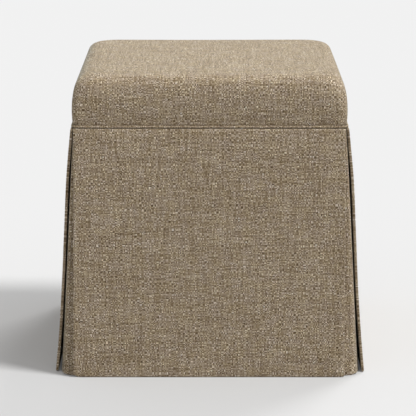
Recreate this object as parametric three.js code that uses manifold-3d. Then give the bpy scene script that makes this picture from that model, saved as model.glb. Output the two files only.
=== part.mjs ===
// Skirted storage ottoman: a plywood box on block feet, four hanging skirt panels that part at the
// corners over folded inserts, and an upholstered lid on two butt hinges at the back.
// Millimetres, +Z up. The front faces -Y, and the origin is on the floor under the middle of the box.

import * as THREE from "three";
import { mergeVertices } from "three/addons/utils/BufferGeometryUtils.js";
import Module from "manifold-3d";

// ---------------------------------------------------------------- driving dimensions

const LID_WIDTH = 454; // across the widest line of the square lid
const TOTAL_HEIGHT = 508.5; // floor to the middle of the lid's crown
const PARTING_Z = 418.4; // the level at which the lid parts from the base
const PARTING_GAP = 2.6; // open height between base and lid
const SEAT_GAP = 0.3; // clearance where one piece is seated on another

const LID_HALF = LID_WIDTH / 2;
const LID_BOTTOM = PARTING_Z + PARTING_GAP / 2;
const BASE_TOP = PARTING_Z - PARTING_GAP / 2;

const lid = {
  boardThickness: 12,
  boardInset: 7.5, // board edge inside the lid's widest line
  weltHeight: 2.7, // piping that shows under the cushion
  weltProud: 2, // piping beyond the lid's widest line
  tuck: 1.6, // side drawn in above the piping
  tuckAngle: 7, // degrees by which the side runs outward there
  tuckPull: 18, // length of the side's lower tangent
  lean: 3.1, // outermost reach of the soft edge inside the lid's widest line
  leanAngle: 17, // degrees by which the side leans in where it meets the soft edge
  leanPull: 18, // length of the side's upper tangent
  edgeRadius: 27, // soft edge between side and top
  crown: 5.3, // rise of the top from its edge to its middle
  boardCorner: 12, // plan corner radius of the board, the piping and the cushion's foot
  topCorner: 33, // plan corner radius at the top
};

const box = {
  half: 221.6, // outer face of the plywood walls
  wall: 12,
  bottomThickness: 9,
  footHeight: 22,
  footSize: 45,
  footInset: 12, // foot from the box's outer face
};

const skirt = {
  width: 450,
  thickness: 4, // two layers of cloth over an interlining
  topOutset: 2.3, // outer face at the top, beyond the lid's widest line
  foldRadius: 1.6, // turned top edge
  hemHeight: 0.4, // hem above the floor
  flangeThickness: 1.8, // allowance turned over the box's rim and tacked there
  flangeInset: 0.6, // flange edge behind the wall's inner face
};

// How far a skirt panel stands out from its top edge, by the distance below that edge.
const skirtHang = [
  { drop: 0, out: 0 },
  { drop: 6, out: 1.3 },
  { drop: 15, out: 2.4 },
  { drop: 35, out: 4.5 },
  { drop: 75, out: 7.7 },
  { drop: 170, out: 13.6 },
  { drop: 280, out: 20.4 },
  { drop: 420, out: 31.8 },
];

const insert = {
  leg: 65, // each side of the folded corner
  thickness: 2.2,
  bendRadius: 3.5, // outside of the fold
  topZ: 411,
  topHalf: 224.6, // outer face at the top
  bottomHalf: 247.8, // outer face at the hem
  hemHeight: 0.4,
};

const hinge = {
  spacing: 260, // between the middles of the two hinges
  length: 60,
  leafThickness: 0.8,
  leafReach: 11, // leaf over the box's rim, inward of its outer face
  axisBehind: 5.7, // pin behind the lid's widest line
  knuckleRadius: 2.4,
  boreRadius: 1.4,
  pinRadius: 1.05,
  knuckles: 5,
  knuckleGap: 0.4,
  tongueLap: 1, // tongue from the leaf to a knuckle, laid over the leaf's edge
};

// Straight pieces that stand for each curve.
const divisions = { cushion: 5, welt: 3, skirtFold: 3, insertFold: 4, knuckle: 10, pin: 16 };

// ---------------------------------------------------------------- finishes

const cloth = new THREE.MeshStandardMaterial({ color: 0x8b7d68, roughness: 0.95, metalness: 0 });
const plywood = new THREE.MeshStandardMaterial({ color: 0xc8aa7e, roughness: 0.7, metalness: 0 });
const blackPlastic = new THREE.MeshStandardMaterial({ color: 0x26211d, roughness: 0.6, metalness: 0 });
const steel = new THREE.MeshStandardMaterial({ color: 0xb5b3ad, roughness: 0.35, metalness: 1 });

const ottoman = new THREE.Group();

function addPiece(name, geometry, material, parent) {
  const piece = new THREE.Mesh(geometry, material);
  piece.name = name;
  parent.add(piece);
  return piece;
}

// ---------------------------------------------------------------- joining solids

const manifoldLibrary = await Module();
manifoldLibrary.setup();

function toSolid(geometry) {
  const bare = geometry.clone();
  bare.deleteAttribute("normal");
  bare.deleteAttribute("uv");
  const merged = mergeVertices(bare, 1e-4);
  return new manifoldLibrary.Manifold(
    new manifoldLibrary.Mesh({
      numProp: 3,
      vertProperties: new Float32Array(merged.attributes.position.array),
      triVerts: new Uint32Array(merged.index.array),
    }),
  );
}

function joined(geometries) {
  const solid = geometries.map(toSolid).reduce((sum, next) => sum.add(next));
  const mesh = solid.getMesh();
  const geometry = new THREE.BufferGeometry();
  geometry.setAttribute("position", new THREE.BufferAttribute(new Float32Array(mesh.vertProperties), 3));
  geometry.setIndex(new THREE.BufferAttribute(new Uint32Array(mesh.triVerts), 1));
  return geometry;
}

// ---------------------------------------------------------------- square turned shapes

// A point on a square of the given half-width with rounded corners, at the fraction `turn` of the
// way round, anticlockwise from the middle of the +X side. Half of the steps go to the corners.
function squarePoint(turn, half, corner) {
  const quarter = Math.floor(turn * 4) % 4;
  const along = turn * 4 - Math.floor(turn * 4);
  const straight = half - corner;
  const point = new THREE.Vector2();
  if (along < 0.25) {
    point.set(half, straight * along * 4);
  } else if (along < 0.75) {
    const angle = (along - 0.25) * Math.PI;
    point.set(straight + corner * Math.cos(angle), straight + corner * Math.sin(angle));
  } else {
    point.set(straight * (1 - along) * 4, half);
  }
  return point.rotateAround(new THREE.Vector2(0, 0), (quarter * Math.PI) / 2);
}

// A profile of (half-width, height) points carried round a rounded square instead of a circle.
function squareTurned(profile, cornerAt) {
  const steps = 48;
  const geometry = new THREE.LatheGeometry(profile, steps);
  const position = geometry.attributes.position;
  for (let i = 0; i < position.count; i += 1) {
    const turn = (Math.floor(i / profile.length) % steps) / steps;
    const { x: half, y: height } = profile[i % profile.length];
    const point = squarePoint(turn, half, Math.min(cornerAt(height), half));
    position.setXYZ(i, point.x, point.y, height);
  }
  return geometry;
}

// ---------------------------------------------------------------- lid

const lidPieces = new THREE.Group();
ottoman.add(lidPieces);

const boardHalf = LID_HALF - lid.boardInset;
const boardTop = LID_BOTTOM + lid.boardThickness;
const cushionBottom = LID_BOTTOM + lid.weltHeight + SEAT_GAP;
const boardCorner = () => lid.boardCorner;

// Plan corner radius of the cushion: the board's at its foot, softer and softer towards the top.
function cushionCorner(height) {
  const edgeTop = TOTAL_HEIGHT - lid.crown;
  const share = THREE.MathUtils.clamp((height - boardTop) / (edgeTop - boardTop), 0, 1);
  return THREE.MathUtils.lerp(lid.boardCorner, lid.topCorner, share ** 2);
}

// The cushion wraps the board: up the board's edge, out under it, up the bulging side, round the
// soft edge and over the crown to the middle.
function cushionProfile() {
  const edgeTop = TOTAL_HEIGHT - lid.crown;
  const arcCentre = new THREE.Vector2(LID_HALF - lid.lean - lid.edgeRadius, edgeTop - lid.edgeRadius);
  const crownAngle = Math.atan((2 * lid.crown) / arcCentre.x);
  const leanAngle = THREE.MathUtils.degToRad(lid.leanAngle);
  const tuckAngle = THREE.MathUtils.degToRad(lid.tuckAngle);
  const arcStart = new THREE.Vector2(lid.edgeRadius, 0)
    .rotateAround(new THREE.Vector2(0, 0), leanAngle)
    .add(arcCentre);
  const foot = new THREE.Vector2(LID_HALF - lid.tuck, cushionBottom);
  const pocketHalf = boardHalf + SEAT_GAP;
  const pocketTop = boardTop + SEAT_GAP;

  const path = new THREE.Path();
  path.moveTo(0, pocketTop);
  path.lineTo(pocketHalf, pocketTop);
  path.lineTo(pocketHalf, foot.y);
  path.lineTo(foot.x, foot.y);
  path.bezierCurveTo(
    foot.x + lid.tuckPull * Math.sin(tuckAngle),
    foot.y + lid.tuckPull * Math.cos(tuckAngle),
    arcStart.x + lid.leanPull * Math.sin(leanAngle),
    arcStart.y - lid.leanPull * Math.cos(leanAngle),
    arcStart.x,
    arcStart.y,
  );
  path.absarc(arcCentre.x, arcCentre.y, lid.edgeRadius, leanAngle, Math.PI / 2 - crownAngle, false);
  path.quadraticCurveTo(arcCentre.x / 2, TOTAL_HEIGHT, 0, TOTAL_HEIGHT);
  return path.getPoints(divisions.cushion);
}

addPiece("lid_cushion", squareTurned(cushionProfile(), cushionCorner), cloth, lidPieces);

function weltProfile() {
  const inner = boardHalf + SEAT_GAP;
  const outer = LID_HALF + lid.weltProud;
  const top = LID_BOTTOM + lid.weltHeight;
  const round = lid.weltHeight / 2;
  const path = new THREE.Path();
  path.moveTo(inner, LID_BOTTOM);
  path.lineTo(outer - round, LID_BOTTOM);
  path.absarc(outer - round, top - round, round, -Math.PI / 2, Math.PI / 2, false);
  path.lineTo(inner, top);
  path.lineTo(inner, LID_BOTTOM);
  return path.getPoints(divisions.welt);
}

addPiece("lid_welt", squareTurned(weltProfile(), boardCorner), cloth, lidPieces);

const boardProfile = [
  new THREE.Vector2(0, LID_BOTTOM),
  new THREE.Vector2(boardHalf, LID_BOTTOM),
  new THREE.Vector2(boardHalf, boardTop),
  new THREE.Vector2(0, boardTop),
];
addPiece("lid_board", squareTurned(boardProfile, boardCorner), plywood, lidPieces);

// ---------------------------------------------------------------- box and feet

const basePieces = new THREE.Group();
ottoman.add(basePieces);

const rimZ = BASE_TOP - skirt.flangeThickness - SEAT_GAP;
const bottomTop = box.footHeight + box.bottomThickness;
const wallHeight = rimZ - bottomTop - SEAT_GAP;
const wallMiddle = (rimZ + bottomTop + SEAT_GAP) / 2;

const bottomPanel = addPiece(
  "box_bottom",
  new THREE.BoxGeometry(2 * box.half, 2 * box.half, box.bottomThickness),
  plywood,
  basePieces,
);
bottomPanel.position.z = box.footHeight + box.bottomThickness / 2;

// Front and back walls run the full width, and the side walls fit between them.
const walls = [
  { name: "box_front", length: 2 * box.half, toX: 0, toY: -1 },
  { name: "box_back", length: 2 * box.half, toX: 0, toY: 1 },
  { name: "box_left", length: 2 * (box.half - box.wall - SEAT_GAP), toX: -1, toY: 0 },
  { name: "box_right", length: 2 * (box.half - box.wall - SEAT_GAP), toX: 1, toY: 0 },
];
for (const { name, length, toX, toY } of walls) {
  const sizeX = toX ? box.wall : length;
  const sizeY = toY ? box.wall : length;
  const wall = addPiece(name, new THREE.BoxGeometry(sizeX, sizeY, wallHeight), plywood, basePieces);
  const reach = box.half - box.wall / 2;
  wall.position.set(toX * reach, toY * reach, wallMiddle);
}

const corners = [
  { name: "front_left", toX: -1, toY: -1 },
  { name: "front_right", toX: 1, toY: -1 },
  { name: "back_right", toX: 1, toY: 1 },
  { name: "back_left", toX: -1, toY: 1 },
];
for (const { name, toX, toY } of corners) {
  const height = box.footHeight - SEAT_GAP;
  const footShape = new THREE.BoxGeometry(box.footSize, box.footSize, height);
  const foot = addPiece(`foot_${name}`, footShape, blackPlastic, basePieces);
  const reach = box.half - box.footInset - box.footSize / 2;
  foot.position.set(toX * reach, toY * reach, height / 2);
}

// ---------------------------------------------------------------- skirt panels

const hangCurve = new THREE.CubicInterpolant(
  skirtHang.map((row) => row.drop),
  skirtHang.map((row) => row.out),
  1,
);

// Outer face of a hanging panel, from the box's middle, at a height.
function skirtFace(height) {
  return LID_HALF + skirt.topOutset + hangCurve.evaluate(BASE_TOP - height)[0];
}

// Section through a panel: up the inner face, over the turned top edge and down the outer face.
function skirtSection() {
  const rows = 16;
  const shape = new THREE.Shape();
  const top = BASE_TOP - skirt.foldRadius;
  const innerTop = skirtFace(BASE_TOP) - skirt.thickness;
  const outerTop = skirtFace(top);
  const heightAt = (row) => THREE.MathUtils.lerp(skirt.hemHeight, top, (row / rows) ** 0.75);
  shape.moveTo(skirtFace(skirt.hemHeight) - skirt.thickness, skirt.hemHeight);
  for (let row = 1; row < rows; row += 1) {
    shape.lineTo(skirtFace(heightAt(row)) - skirt.thickness, heightAt(row));
  }
  shape.lineTo(innerTop, top);
  shape.quadraticCurveTo(innerTop, BASE_TOP, innerTop + skirt.foldRadius, BASE_TOP);
  shape.lineTo(outerTop - skirt.foldRadius, BASE_TOP);
  shape.quadraticCurveTo(outerTop, BASE_TOP, outerTop, top);
  for (let row = rows - 1; row >= 0; row -= 1) {
    shape.lineTo(skirtFace(heightAt(row)), heightAt(row));
  }
  return shape;
}

// One panel facing +X: the hanging part, and the flange that lies on the box's rim.
function skirtPanel(flangeLength) {
  const hanging = new THREE.ExtrudeGeometry(skirtSection(), {
    depth: skirt.width,
    bevelEnabled: false,
    curveSegments: divisions.skirtFold,
  });
  hanging.rotateX(Math.PI / 2);
  hanging.translate(0, skirt.width / 2, 0);

  const flangeInner = box.half - box.wall + skirt.flangeInset;
  const flangeOuter = LID_HALF + skirt.topOutset - skirt.thickness / 2;
  const flange = new THREE.BoxGeometry(flangeOuter - flangeInner, flangeLength, skirt.flangeThickness);
  flange.translate((flangeOuter + flangeInner) / 2, 0, BASE_TOP - skirt.flangeThickness / 2);
  return joined([hanging, flange]);
}

const sideFlange = 2 * (box.half - box.wall);
const panels = [
  { name: "skirt_front", facing: -90, flange: 2 * box.half },
  { name: "skirt_right", facing: 0, flange: sideFlange },
  { name: "skirt_back", facing: 90, flange: 2 * box.half },
  { name: "skirt_left", facing: 180, flange: sideFlange },
];
for (const { name, facing, flange } of panels) {
  const panel = addPiece(name, skirtPanel(flange), cloth, basePieces);
  panel.rotation.z = THREE.MathUtils.degToRad(facing);
}

// ---------------------------------------------------------------- corner inserts

// Plan of the folded insert for the +X +Y corner, with its outer faces on x = half and y = half.
function insertPlan(half) {
  const inner = half - insert.thickness;
  const end = half - insert.leg;
  const bend = insert.bendRadius;
  const innerBend = bend - insert.thickness;
  const plan = new THREE.Shape();
  plan.moveTo(half, end);
  plan.lineTo(half, half - bend);
  plan.absarc(half - bend, half - bend, bend, 0, Math.PI / 2, false);
  plan.lineTo(end, half);
  plan.lineTo(end, inner);
  plan.lineTo(inner - innerBend, inner);
  plan.absarc(inner - innerBend, inner - innerBend, innerBend, Math.PI / 2, 0, true);
  plan.lineTo(inner, end);
  plan.closePath();
  return plan;
}

function cornerInsert() {
  const height = insert.topZ - insert.hemHeight;
  const geometry = new THREE.ExtrudeGeometry(insertPlan(insert.topHalf), {
    depth: height,
    steps: 8,
    bevelEnabled: false,
    curveSegments: divisions.insertFold,
  });
  const position = geometry.attributes.position;
  for (let i = 0; i < position.count; i += 1) {
    const down = 1 - position.getZ(i) / height;
    const flare = (insert.bottomHalf - insert.topHalf) * down;
    position.setXYZ(i, position.getX(i) + flare, position.getY(i) + flare, position.getZ(i));
  }
  geometry.translate(0, 0, insert.hemHeight);
  return geometry;
}

for (const { name, toX, toY } of corners) {
  const piece = addPiece(`corner_insert_${name}`, cornerInsert(), cloth, basePieces);
  piece.rotation.z = Math.atan2(toY, toX) - Math.PI / 4;
}

// ---------------------------------------------------------------- hinges

const axisY = LID_HALF + hinge.axisBehind;
const knucklePitch = hinge.length / hinge.knuckles;

// Leaf plate with its knuckles, lying along X. `side` is -1 under the parting level and 1 above it.
function hingeLeaf(side, knuckleNumbers) {
  const plateStart = box.half - hinge.leafReach;
  const plateEnd = axisY - hinge.knuckleRadius - hinge.knuckleGap;
  const plateZ = PARTING_Z + side * (PARTING_GAP / 2 - SEAT_GAP - hinge.leafThickness / 2);
  const plate = new THREE.BoxGeometry(hinge.length, plateEnd - plateStart, hinge.leafThickness);
  plate.translate(0, (plateStart + plateEnd) / 2, plateZ);
  const pieces = [plate];

  const ring = new THREE.Shape();
  ring.absarc(0, 0, hinge.knuckleRadius, 0, 2 * Math.PI, false);
  const bore = new THREE.Path();
  bore.absarc(0, 0, hinge.boreRadius, 0, 2 * Math.PI, true);
  ring.holes.push(bore);

  for (const number of knuckleNumbers) {
    const middle = (number - (hinge.knuckles - 1) / 2) * knucklePitch;
    const width = knucklePitch - hinge.knuckleGap;
    const knuckle = new THREE.ExtrudeGeometry(ring, {
      depth: width,
      bevelEnabled: false,
      curveSegments: divisions.knuckle,
    });
    knuckle.rotateY(Math.PI / 2);
    knuckle.translate(middle - width / 2, axisY, PARTING_Z);
    const tongueStart = plateEnd - hinge.tongueLap;
    const tongueEnd = axisY - (hinge.knuckleRadius + hinge.boreRadius) / 2;
    const tongue = new THREE.BoxGeometry(width, tongueEnd - tongueStart, hinge.leafThickness);
    tongue.translate(middle, (tongueStart + tongueEnd) / 2, plateZ);
    pieces.push(knuckle, tongue);
  }
  return joined(pieces);
}

for (const { name, toX } of [{ name: "left", toX: -1 }, { name: "right", toX: 1 }]) {
  const x = (toX * hinge.spacing) / 2;
  const baseLeaf = addPiece(`hinge_${name}_base_leaf`, hingeLeaf(-1, [0, 2, 4]), steel, basePieces);
  baseLeaf.position.x = x;
  const lidLeaf = addPiece(`hinge_${name}_lid_leaf`, hingeLeaf(1, [1, 3]), steel, lidPieces);
  lidLeaf.position.x = x;
  const { pinRadius, length } = hinge;
  const pinShape = new THREE.CylinderGeometry(pinRadius, pinRadius, length, divisions.pin);
  pinShape.rotateZ(Math.PI / 2);
  const pin = addPiece(`hinge_${name}_pin`, pinShape, steel, basePieces);
  pin.position.set(x, axisY, PARTING_Z);
}

export default ottoman;
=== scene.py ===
import math

import bmesh
import bpy
import numpy as np
from mathutils import Euler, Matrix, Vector


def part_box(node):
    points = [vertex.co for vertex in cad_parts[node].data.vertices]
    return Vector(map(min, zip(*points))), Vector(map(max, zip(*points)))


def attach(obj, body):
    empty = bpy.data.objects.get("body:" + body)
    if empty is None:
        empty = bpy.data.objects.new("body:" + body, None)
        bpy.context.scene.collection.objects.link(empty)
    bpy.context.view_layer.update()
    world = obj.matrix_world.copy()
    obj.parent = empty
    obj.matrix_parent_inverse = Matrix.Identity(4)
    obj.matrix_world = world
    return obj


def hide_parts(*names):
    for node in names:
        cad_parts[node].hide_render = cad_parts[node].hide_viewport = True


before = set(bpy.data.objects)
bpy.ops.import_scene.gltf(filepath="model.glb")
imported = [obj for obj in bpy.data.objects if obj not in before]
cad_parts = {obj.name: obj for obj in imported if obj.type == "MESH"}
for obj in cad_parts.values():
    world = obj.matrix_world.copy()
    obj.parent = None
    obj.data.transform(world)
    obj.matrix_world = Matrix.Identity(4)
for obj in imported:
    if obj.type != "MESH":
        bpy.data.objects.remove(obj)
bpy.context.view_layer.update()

MM = 0.001


# ------------------------------------------------------------------ camera and studio
# A long lens a little above the lid. A seamless pale sweep lies under the ottoman, a large soft lamp
# stands high to the right, a weaker one behind to the right, and the pale room fills in the rest.

CAMERA_DISTANCE = 3.5436
CAMERA_HEIGHT = 1.0403
CAMERA_PITCH_DEG = 12.86
SENSOR_WIDTH = 36
CAMERA_FOCAL_WIDTHS = 4.928  # focal length in picture widths
CAMERA_SHIFT = -0.0042

scene = bpy.context.scene
scene.view_settings.view_transform = "Standard"

camera_data = bpy.data.cameras.new("camera")
camera_data.sensor_width = SENSOR_WIDTH
camera_data.lens = SENSOR_WIDTH * CAMERA_FOCAL_WIDTHS
camera_data.shift_x = CAMERA_SHIFT
camera = bpy.data.objects.new("camera", camera_data)
camera.location = (0, -CAMERA_DISTANCE, CAMERA_HEIGHT)
camera.rotation_euler = (math.radians(90 - CAMERA_PITCH_DEG), 0, 0)
scene.collection.objects.link(camera)
scene.camera = camera

FLOOR_HALF = 30.0  # in metres
FLOOR_SEEN = 0.58  # the sweep's grey, as the camera sees it
FLOOR_GLOW = 0.05  # keeps the deepest shade on the sweep from going black
FLOOR_BOUNCE = 0.42  # the grey that lights the ottoman from below: most of the room's floor is darker
ROOM_LIGHT = 0.55
BACKDROP = 0.88

floor_mesh = bpy.data.meshes.new("studio_floor")
floor_corners = [(FLOOR_HALF * x, FLOOR_HALF * y, 0) for x, y in ((-1, -1), (1, -1), (1, 1), (-1, 1))]
floor_mesh.from_pydata(floor_corners, [], [(0, 1, 2, 3)])
floor = bpy.data.objects.new("studio_floor", floor_mesh)
scene.collection.objects.link(floor)


class Nodes:
    """A node tree under construction: each call makes a node and returns one of its outputs."""

    def __init__(self, tree):
        self.tree = tree

    def link(self, source, target):
        self.tree.links.new(source, target)

    def add(self, kind, inputs=(), output=0, **settings):
        node = self.tree.nodes.new(kind)
        for name, value in settings.items():
            setattr(node, name, value)
        for key, value in dict(inputs).items():
            if isinstance(value, bpy.types.NodeSocket):
                self.link(value, node.inputs[key])
            else:
                node.inputs[key].default_value = value
        return node.outputs[output]

    def math(self, operation, *values):
        return self.add("ShaderNodeMath", enumerate(values), operation=operation)

    def mixed(self, share, first, second):
        """The first colour at a share of 0 and the second at a share of 1."""
        sockets = {0: share, 6: first, 7: second}
        return self.add("ShaderNodeMix", sockets, 2, data_type="RGBA", clamp_factor=True)


def sweep_paint():
    """Matt grey, paler to the camera than to the ottoman, with a faint glow that only it sees."""
    material = bpy.data.materials.new("studio_sweep")
    material.use_nodes = True
    n = Nodes(material.node_tree)
    shader = n.tree.nodes["Principled BSDF"]
    seen = n.tree.nodes.new("ShaderNodeLightPath").outputs["Is Camera Ray"]
    grey = n.add("ShaderNodeMapRange", {"Value": seen, "To Min": FLOOR_BOUNCE, "To Max": FLOOR_SEEN})
    n.link(grey, shader.inputs["Base Color"])
    n.link(n.math("MULTIPLY", seen, FLOOR_GLOW), shader.inputs["Emission Strength"])
    shader.inputs["Emission Color"].default_value = (1, 1, 1, 1)
    shader.inputs["Roughness"].default_value = 1.0
    shader.inputs["Specular IOR Level"].default_value = 0.0
    return material


def pale_room():
    """White all round: brighter where the camera sees it, itself or in a shiny or clear surface,
    than as the light that falls on the ottoman."""
    room = bpy.data.worlds.new("pale_room")
    room.use_nodes = True
    n = Nodes(room.node_tree)
    ray = n.tree.nodes.new("ShaderNodeLightPath").outputs
    seen = n.math("ADD", ray["Is Camera Ray"], ray["Is Glossy Ray"])
    seen = n.add(
        "ShaderNodeMath", {0: seen, 1: ray["Is Transmission Ray"]}, operation="ADD", use_clamp=True
    )
    strength = n.add("ShaderNodeMapRange", {"Value": seen, "To Min": ROOM_LIGHT, "To Max": BACKDROP})
    background = n.tree.nodes["Background"]
    background.inputs["Color"].default_value = (1, 1, 1, 1)
    n.link(strength, background.inputs["Strength"])
    return room


floor_mesh.materials.append(sweep_paint())
scene.world = pale_room()

# Each lamp: the direction in which it stands, the light it throws square on to a white surface, and
# how wide it looks.
LAMPS = [
    {"name": "key_lamp", "stands": (0.65, -0.24, 1.0), "light": 0.75, "width_deg": 14},
    {"name": "back_lamp", "stands": (0.41, 0.73, 1.0), "light": 0.35, "width_deg": 18},
]
for lamp in LAMPS:
    light = bpy.data.lights.new(lamp["name"], "SUN")
    light.energy = lamp["light"] * math.pi
    light.angle = math.radians(lamp["width_deg"])
    holder = bpy.data.objects.new(lamp["name"], light)
    east, north, up = lamp["stands"]
    holder.location = (east * 2, north * 2, up * 2)
    holder.rotation_euler = (math.atan2(math.hypot(east, north), up), 0, math.atan2(east, -north))
    scene.collection.objects.link(holder)


# ------------------------------------------------------------------ plywood box
# Four walls on a bottom, of pale birch plywood, glued and nailed at their edges, sanded and sealed
# with a clear matt lacquer. Hidden outside by the skirt, and seen in the well when the lid is up.

PLY = 1.5 * MM
MIDDLE_PLY = 100  # the number of a board's middle ply: those with even numbers have long grain
WOOD_PALE = (229, 205, 165)
WOOD_DARK = (199, 165, 120)
WOOD_PORE = (150, 112, 74)
END_GRAIN = (170, 131, 88)
ARRIS = 0.6 * MM

# Waves to the metre along the grain and across it, and the detail of the noise.
RINGS = {"along": 1.3, "across": 7.0, "detail": 1.0}
FIBRES = {"along": 9.0, "across": 420.0, "detail": 4.0}
PORES = {"along": 70.0, "across": 1600.0, "detail": 1.0}
RING_TIGHTNESS = 70.0  # radians of ring over the whole range of its noise
WOOD_TONE = 0.42  # the middle tone, from 0 for pale to 1 for dark
RING_TONE = 0.16
FIBRE_TONE = 1.5
PORE_DEPTH = 0.45  # how far pores and glue lines go towards the pore colour
GLUE_DEPTH = 0.5
END_SPECKLE = 0.8


def screen_colour(red, green, blue):
    """A colour written as screen values from 0 to 255, as linear light."""
    share = np.clip(np.array([red, green, blue]) / 255, 0, 1)
    linear = np.where(share <= 0.04045, share / 12.92, ((share + 0.055) / 1.055) ** 2.4)
    return (*linear, 1.0)


def plywood_group():
    """Birch plywood. Position is in metres along the grain, across it and through the board, from
    the middle of its thickness, and Facing is the surface's direction in the same three. On a face
    the tone sums wavy growth rings, the sine of a stretched noise, and fibres, a finer noise
    stretched further, and short dark pores are the peaks of a third. On an edge the plies take
    turns: long grain, then darker end grain, with a thin dark glue line between."""
    tree = bpy.data.node_groups.new("birch_plywood", "ShaderNodeTree")
    face = tree.interface
    face.new_socket("Position", in_out="INPUT", socket_type="NodeSocketVector")
    face.new_socket("Facing", in_out="INPUT", socket_type="NodeSocketVector")
    face.new_socket("Colour", in_out="OUTPUT", socket_type="NodeSocketColor")
    face.new_socket("Roughness", in_out="OUTPUT", socket_type="NodeSocketFloat")
    face.new_socket("Height", in_out="OUTPUT", socket_type="NodeSocketFloat")
    n = Nodes(tree)
    given = n.tree.nodes.new("NodeGroupInput")
    position = given.outputs["Position"]

    def stretched(along, across, detail):
        """A noise with so many waves to the metre along the grain and across it."""
        stretch = (along, across, across)
        place = n.add("ShaderNodeVectorMath", {0: position, 1: stretch}, operation="MULTIPLY")
        return n.add("ShaderNodeTexNoise", {"Vector": place, "Scale": 1.0, "Detail": detail})

    rings = n.math("SINE", n.math("MULTIPLY", stretched(**RINGS), RING_TIGHTNESS))
    fibres = n.math("SUBTRACT", stretched(**FIBRES), 0.5)
    flecks = stretched(**PORES)
    pores = n.add("ShaderNodeMapRange", {"Value": flecks, "From Min": 0.62, "From Max": 0.7})
    fibre_tone = n.math("MULTIPLY_ADD", fibres, FIBRE_TONE, WOOD_TONE)
    tone = n.math("MULTIPLY_ADD", rings, RING_TONE, fibre_tone)
    board = n.mixed(tone, screen_colour(*WOOD_PALE), screen_colour(*WOOD_DARK))
    board = n.mixed(n.math("MULTIPLY", pores, PORE_DEPTH), board, screen_colour(*WOOD_PORE))

    split = n.tree.nodes.new("ShaderNodeSeparateXYZ")
    n.link(position, split.inputs[0])
    layer = n.math("MULTIPLY_ADD", split.outputs[2], 1 / PLY, MIDDLE_PLY + 0.5)
    cross_ply = n.math("FLOORED_MODULO", n.math("FLOOR", layer), 2.0)
    from_middle = n.math("ABSOLUTE", n.math("SUBTRACT", n.math("FRACT", layer), 0.5))
    glue = n.add("ShaderNodeMapRange", {"Value": from_middle, "From Min": 0.42, "From Max": 0.5})
    speckle = n.add("ShaderNodeTexNoise", {"Vector": position, "Scale": 1800.0})
    end_tone = n.math("MULTIPLY_ADD", n.math("SUBTRACT", speckle, 0.5), END_SPECKLE, 0.5)
    end_grain = n.mixed(end_tone, screen_colour(*END_GRAIN), screen_colour(*WOOD_DARK))
    edge = n.mixed(cross_ply, board, end_grain)
    edge = n.mixed(n.math("MULTIPLY", glue, GLUE_DEPTH), edge, screen_colour(*WOOD_PORE))
    facing = n.tree.nodes.new("ShaderNodeSeparateXYZ")
    n.link(given.outputs["Facing"], facing.inputs[0])
    on_edge = n.math("LESS_THAN", n.math("ABSOLUTE", facing.outputs[2]), 0.5)

    result = n.tree.nodes.new("NodeGroupOutput")
    n.link(n.mixed(on_edge, board, edge), result.inputs["Colour"])
    n.link(n.math("MULTIPLY_ADD", fibres, 0.3, 0.56), result.inputs["Roughness"])
    relief = n.math("SUBTRACT", n.math("MULTIPLY", fibres, 0.8), pores)
    n.link(n.math("SUBTRACT", relief, n.math("MULTIPLY", on_edge, glue)), result.inputs["Height"])
    return tree


birch_plywood = plywood_group()
UPRIGHT_ACROSS = (90, 0, 0)  # grain along X, board facing front and back
UPRIGHT_ALONG = (90, 90, 0)  # grain along Y, board facing the sides
LEVEL = (0, 0, 0)


def plywood(node, turn_deg, slide):
    """Material for one board: its place and facing turned to run along the grain, with the figure
    slid to a stretch of its own."""
    material = bpy.data.materials.new(f"plywood_{node}")
    material.use_nodes = True
    n = Nodes(material.node_tree)
    shader = n.tree.nodes["Principled BSDF"]
    turn = Euler([math.radians(angle) for angle in turn_deg])
    low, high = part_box(node)
    middle = turn.to_matrix() @ ((Vector(low) + Vector(high)) / 2)
    own_place = Vector((*slide, 0)) - middle
    given = n.tree.nodes.new("ShaderNodeTexCoord")
    place = n.add(
        "ShaderNodeMapping",
        {"Vector": given.outputs["Object"], "Location": own_place, "Rotation": turn},
        vector_type="POINT",
    )
    facing = n.add(
        "ShaderNodeMapping", {"Vector": given.outputs["Normal"], "Rotation": turn}, vector_type="VECTOR"
    )
    board = n.tree.nodes.new("ShaderNodeGroup")
    board.node_tree = birch_plywood
    n.link(place, board.inputs["Position"])
    n.link(facing, board.inputs["Facing"])
    n.link(board.outputs["Colour"], shader.inputs["Base Color"])
    n.link(board.outputs["Roughness"], shader.inputs["Roughness"])
    relief = n.add(
        "ShaderNodeBump", {"Strength": 0.35, "Distance": 0.15 * MM, "Height": board.outputs["Height"]}
    )
    n.link(relief, shader.inputs["Normal"])
    shader.inputs["Specular IOR Level"].default_value = 0.35
    return material


def finish_part(node, material, edge_radius):
    """Gives a hard piece its material and softly rounded edges."""
    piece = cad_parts[node]
    piece.material_slots[0].material = material
    joined = piece.modifiers.new("joined_faces", "WELD")
    joined.merge_threshold = 0.01 * MM
    rounded = piece.modifiers.new("rounded_edges", "BEVEL")
    rounded.width = edge_radius
    rounded.segments = 3
    rounded.limit_method = "ANGLE"
    rounded.angle_limit = math.radians(40)


BOX_BOARDS = [
    {"node": "box_bottom", "turn_deg": LEVEL, "slide": (0.3, 0.1)},
    {"node": "box_front", "turn_deg": UPRIGHT_ACROSS, "slide": (1.4, 0.7)},
    {"node": "box_back", "turn_deg": UPRIGHT_ACROSS, "slide": (2.6, 1.9)},
    {"node": "box_left", "turn_deg": UPRIGHT_ALONG, "slide": (3.5, 2.2)},
    {"node": "box_right", "turn_deg": UPRIGHT_ALONG, "slide": (4.7, 3.1)},
]
for board in BOX_BOARDS:
    finish_part(board["node"], plywood(**board), ARRIS)


# ------------------------------------------------------------------ block feet
# Four black moulded blocks screwed up into the bottom, near its corners, where the skirt hides them.
# The mould left a fine matt grain, and handling has made it slightly uneven.

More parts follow.
